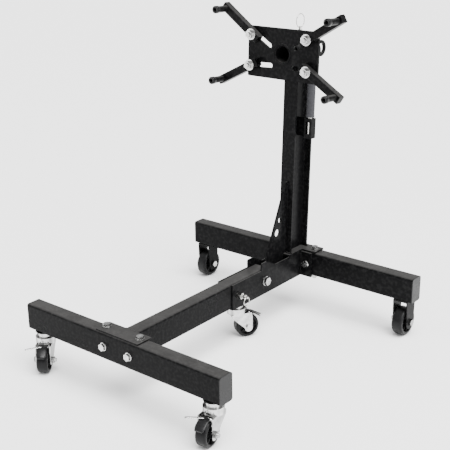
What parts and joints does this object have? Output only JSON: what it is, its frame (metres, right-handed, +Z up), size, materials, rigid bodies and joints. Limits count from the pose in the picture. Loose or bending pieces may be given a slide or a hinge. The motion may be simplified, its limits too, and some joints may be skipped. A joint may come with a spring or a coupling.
{
  "type": "engine stand",
  "caption": "Folding workshop stand that holds an engine on a rotating plate with adjustable arms, on a wheeled base.",
  "frame": {"origin": "on the floor under the middle of the stand's overall box", "axes": "+Z up; +Y from the front beam towards the mast; +X to the right of somebody facing the mounting plate"},
  "size_m": [0.881, 1.0474, 1.0007],
  "materials": {
    "frame_paint": "satin black enamel",
    "cap_plastic": "matte black plastic",
    "hardware_zinc": "bright zinc plate",
    "fork_zinc": "bright zinc-plated pressed steel",
    "wheel_polymer": "hard black tread",
    "pedal": "black pedal with a zinc-plated lever",
    "grip_rubber": "black grip",
    "pin_steel": "bright turned steel"
  },
  "bodies": {
    "rear_frame": {"rear_beam": "frame_paint", "rear_beam_caps": "cap_plastic", "leg_channel": "frame_paint", "mast_base_plate": "frame_paint", "mast": "frame_paint", "gusset": "frame_paint", "rear_beam_bolts": "hardware_zinc", "pivot_bolt": "hardware_zinc", "rear_fork_left": "frame_paint", "rear_fork_right": "frame_paint", "rear_axle_bolts": "hardware_zinc", "middle_caster_mount": "fork_zinc", "lock_pin_housing": "pin_steel", "head_sleeve": "frame_paint", "index_pin_housing": "frame_paint", "bar_socket": "frame_paint"},
    "front_frame": {"leg_tube": "frame_paint", "leg_flange": "frame_paint", "tee_plate": "frame_paint", "front_beam": "frame_paint", "front_beam_caps": "cap_plastic", "front_beam_bolts": "hardware_zinc", "left_caster_mount": "fork_zinc", "right_caster_mount": "fork_zinc"},
    "rear_left_wheel": {"rear_wheel_left": "wheel_polymer"},
    "rear_right_wheel": {"rear_wheel_right": "wheel_polymer"},
    "lock_pin": {"lock_pin": "pin_steel"},
    "lock_ring": {"lock_ring": "pin_steel"},
    "index_pin": {"index_pin": "pin_steel", "index_ring": "pin_steel"},
    "head": {"head_tube": "frame_paint", "head_plate": "frame_paint", "tail_eye": "frame_paint"},
    "turning_bar": {"turning_bar": "pin_steel", "bar_grip": "grip_rubber"},
    "left_caster_swivel": {"left_caster_fork": "fork_zinc", "left_caster_axle": "hardware_zinc"},
    "left_caster_wheel": {"left_caster_wheel": "wheel_polymer"},
    "left_caster_brake": {"left_caster_brake": "pedal"},
    "right_caster_swivel": {"right_caster_fork": "fork_zinc", "right_caster_axle": "hardware_zinc"},
    "right_caster_wheel": {"right_caster_wheel": "wheel_polymer"},
    "right_caster_brake": {"right_caster_brake": "pedal"},
    "middle_caster_swivel": {"middle_caster_fork": "fork_zinc", "middle_caster_axle": "hardware_zinc"},
    "middle_caster_wheel": {"middle_caster_wheel": "wheel_polymer"},
    "middle_caster_brake": {"middle_caster_brake": "pedal"},
    "arm_bolt_upper_left": {"arm_bolt_upper_left": "hardware_zinc"},
    "arm_upper_left": {"arm_upper_left": "frame_paint", "finger_upper_left": "frame_paint"},
    "arm_bolt_upper_right": {"arm_bolt_upper_right": "hardware_zinc"},
    "arm_upper_right": {"arm_upper_right": "frame_paint", "finger_upper_right": "frame_paint"},
    "arm_bolt_lower_left": {"arm_bolt_lower_left": "hardware_zinc"},
    "arm_lower_left": {"arm_lower_left": "frame_paint", "finger_lower_left": "frame_paint"},
    "arm_bolt_lower_right": {"arm_bolt_lower_right": "hardware_zinc"},
    "arm_lower_right": {"arm_lower_right": "frame_paint", "finger_lower_right": "frame_paint"}
  },
  "joints": [
    {"name": "leg_fold", "type": "hinge", "parent": "rear_frame", "child": "front_frame", "pos_m": [0, 0.169, 0.16], "axis": [-1, 0, 0], "range_deg": [0, 84]},
    {"name": "rear_left_wheel_spin", "type": "hinge", "parent": "rear_frame", "child": "rear_left_wheel", "pos_m": [-0.4005, 0.3966, 0.045], "axis": [1, 0, 0], "continuous": true},
    {"name": "rear_right_wheel_spin", "type": "hinge", "parent": "rear_frame", "child": "rear_right_wheel", "pos_m": [0.4005, 0.3966, 0.045], "axis": [1, 0, 0], "continuous": true},
    {"name": "lock_pin_pull", "type": "slide", "parent": "rear_frame", "child": "lock_pin", "axis": [1, 0, 0], "range_m": [-0.009, 0]},
    {"name": "lock_ring_swing", "type": "hinge", "parent": "lock_pin", "child": "lock_ring", "pos_m": [0.062, 0.03, 0.16], "axis": [0, 1, 0], "range_deg": [-80, 25]},
    {"name": "index_pin_pull", "type": "slide", "parent": "rear_frame", "child": "index_pin", "axis": [0, 0.0436, 0.999], "range_m": [-0.009, 0]},
    {"name": "head_spin", "type": "hinge", "parent": "rear_frame", "child": "head", "pos_m": [0, 0.33943, 0.85488], "axis": [0, -0.999, 0.0436], "continuous": true},
    {"name": "turning_bar_lift", "type": "slide", "parent": "rear_frame", "child": "turning_bar", "axis": [0, 0.0436, 0.999], "range_m": [0, 0.065]},
    {"name": "left_caster_swivel_turn", "type": "hinge", "parent": "front_frame", "child": "left_caster_swivel", "pos_m": [-0.322, -0.4409, 0.102], "axis": [0, 0, 1], "continuous": true},
    {"name": "left_caster_wheel_spin", "type": "hinge", "parent": "left_caster_swivel", "child": "left_caster_wheel", "pos_m": [-0.30365, -0.46711, 0.038], "axis": [-0.8192, -0.5736, 0], "continuous": true},
    {"name": "left_caster_brake_press", "type": "hinge", "parent": "left_caster_swivel", "child": "left_caster_brake", "pos_m": [-0.30078, -0.47121, 0.081], "axis": [-0.8192, -0.5736, 0], "range_deg": [-8, 0]},
    {"name": "right_caster_swivel_turn", "type": "hinge", "parent": "front_frame", "child": "right_caster_swivel", "pos_m": [0.322, -0.4409, 0.102], "axis": [0, 0, 1], "continuous": true},
    {"name": "right_caster_wheel_spin", "type": "hinge", "parent": "right_caster_swivel", "child": "right_caster_wheel", "pos_m": [0.32645, -0.47259, 0.038], "axis": [-0.9903, -0.1392, 0], "continuous": true},
    {"name": "right_caster_brake_press", "type": "hinge", "parent": "right_caster_swivel", "child": "right_caster_brake", "pos_m": [0.32715, -0.47754, 0.081], "axis": [-0.9903, -0.1392, 0], "range_deg": [-8, 0]},
    {"name": "middle_caster_swivel_turn", "type": "hinge", "parent": "rear_frame", "child": "middle_caster_swivel", "pos_m": [0, 0.058, 0.102], "axis": [0, 0, 1], "continuous": true},
    {"name": "middle_caster_wheel_spin", "type": "hinge", "parent": "middle_caster_swivel", "child": "middle_caster_wheel", "pos_m": [0.016, 0.08571, 0.038], "axis": [0.866, -0.5, 0], "continuous": true},
    {"name": "middle_caster_brake_press", "type": "hinge", "parent": "middle_caster_swivel", "child": "middle_caster_brake", "pos_m": [0.0185, 0.09004, 0.081], "axis": [0.866, -0.5, 0], "range_deg": [-8, 0]},
    {"name": "arm_upper_left_slide", "type": "slide", "parent": "head", "child": "arm_bolt_upper_left", "axis": [0.8603, -0.0222, -0.5093], "range_m": [-0.006, 0.062]},
    {"name": "arm_upper_left_swivel", "type": "hinge", "parent": "arm_bolt_upper_left", "child": "arm_upper_left", "pos_m": [-0.102, 0.29183, 0.91101], "axis": [0, -0.999, 0.0436], "range_deg": [-20, 20]},
    {"name": "arm_upper_right_slide", "type": "slide", "parent": "head", "child": "arm_bolt_upper_right", "axis": [-0.8603, -0.0222, -0.5093], "range_m": [-0.006, 0.062]},
    {"name": "arm_upper_right_swivel", "type": "hinge", "parent": "arm_bolt_upper_right", "child": "arm_upper_right", "pos_m": [0.102, 0.29183, 0.91101], "axis": [0, -0.999, 0.0436], "range_deg": [-20, 20]},
    {"name": "arm_lower_left_slide", "type": "slide", "parent": "head", "child": "arm_bolt_lower_left", "axis": [0.9995, 0.0014, 0.0322], "range_m": [-0.006, 0.062]},
    {"name": "arm_lower_left_swivel", "type": "hinge", "parent": "arm_bolt_lower_left", "child": "arm_lower_left", "pos_m": [-0.105, 0.28773, 0.8171], "axis": [0, -0.999, 0.0436], "range_deg": [-20, 20]},
    {"name": "arm_lower_right_slide", "type": "slide", "parent": "head", "child": "arm_bolt_lower_right", "axis": [-0.9995, 0.0014, 0.0322], "range_m": [-0.006, 0.062]},
    {"name": "arm_lower_right_swivel", "type": "hinge", "parent": "arm_bolt_lower_right", "child": "arm_lower_right", "pos_m": [0.105, 0.28773, 0.8171], "axis": [0, -0.999, 0.0436], "range_deg": [-20, 20]}
  ]
}
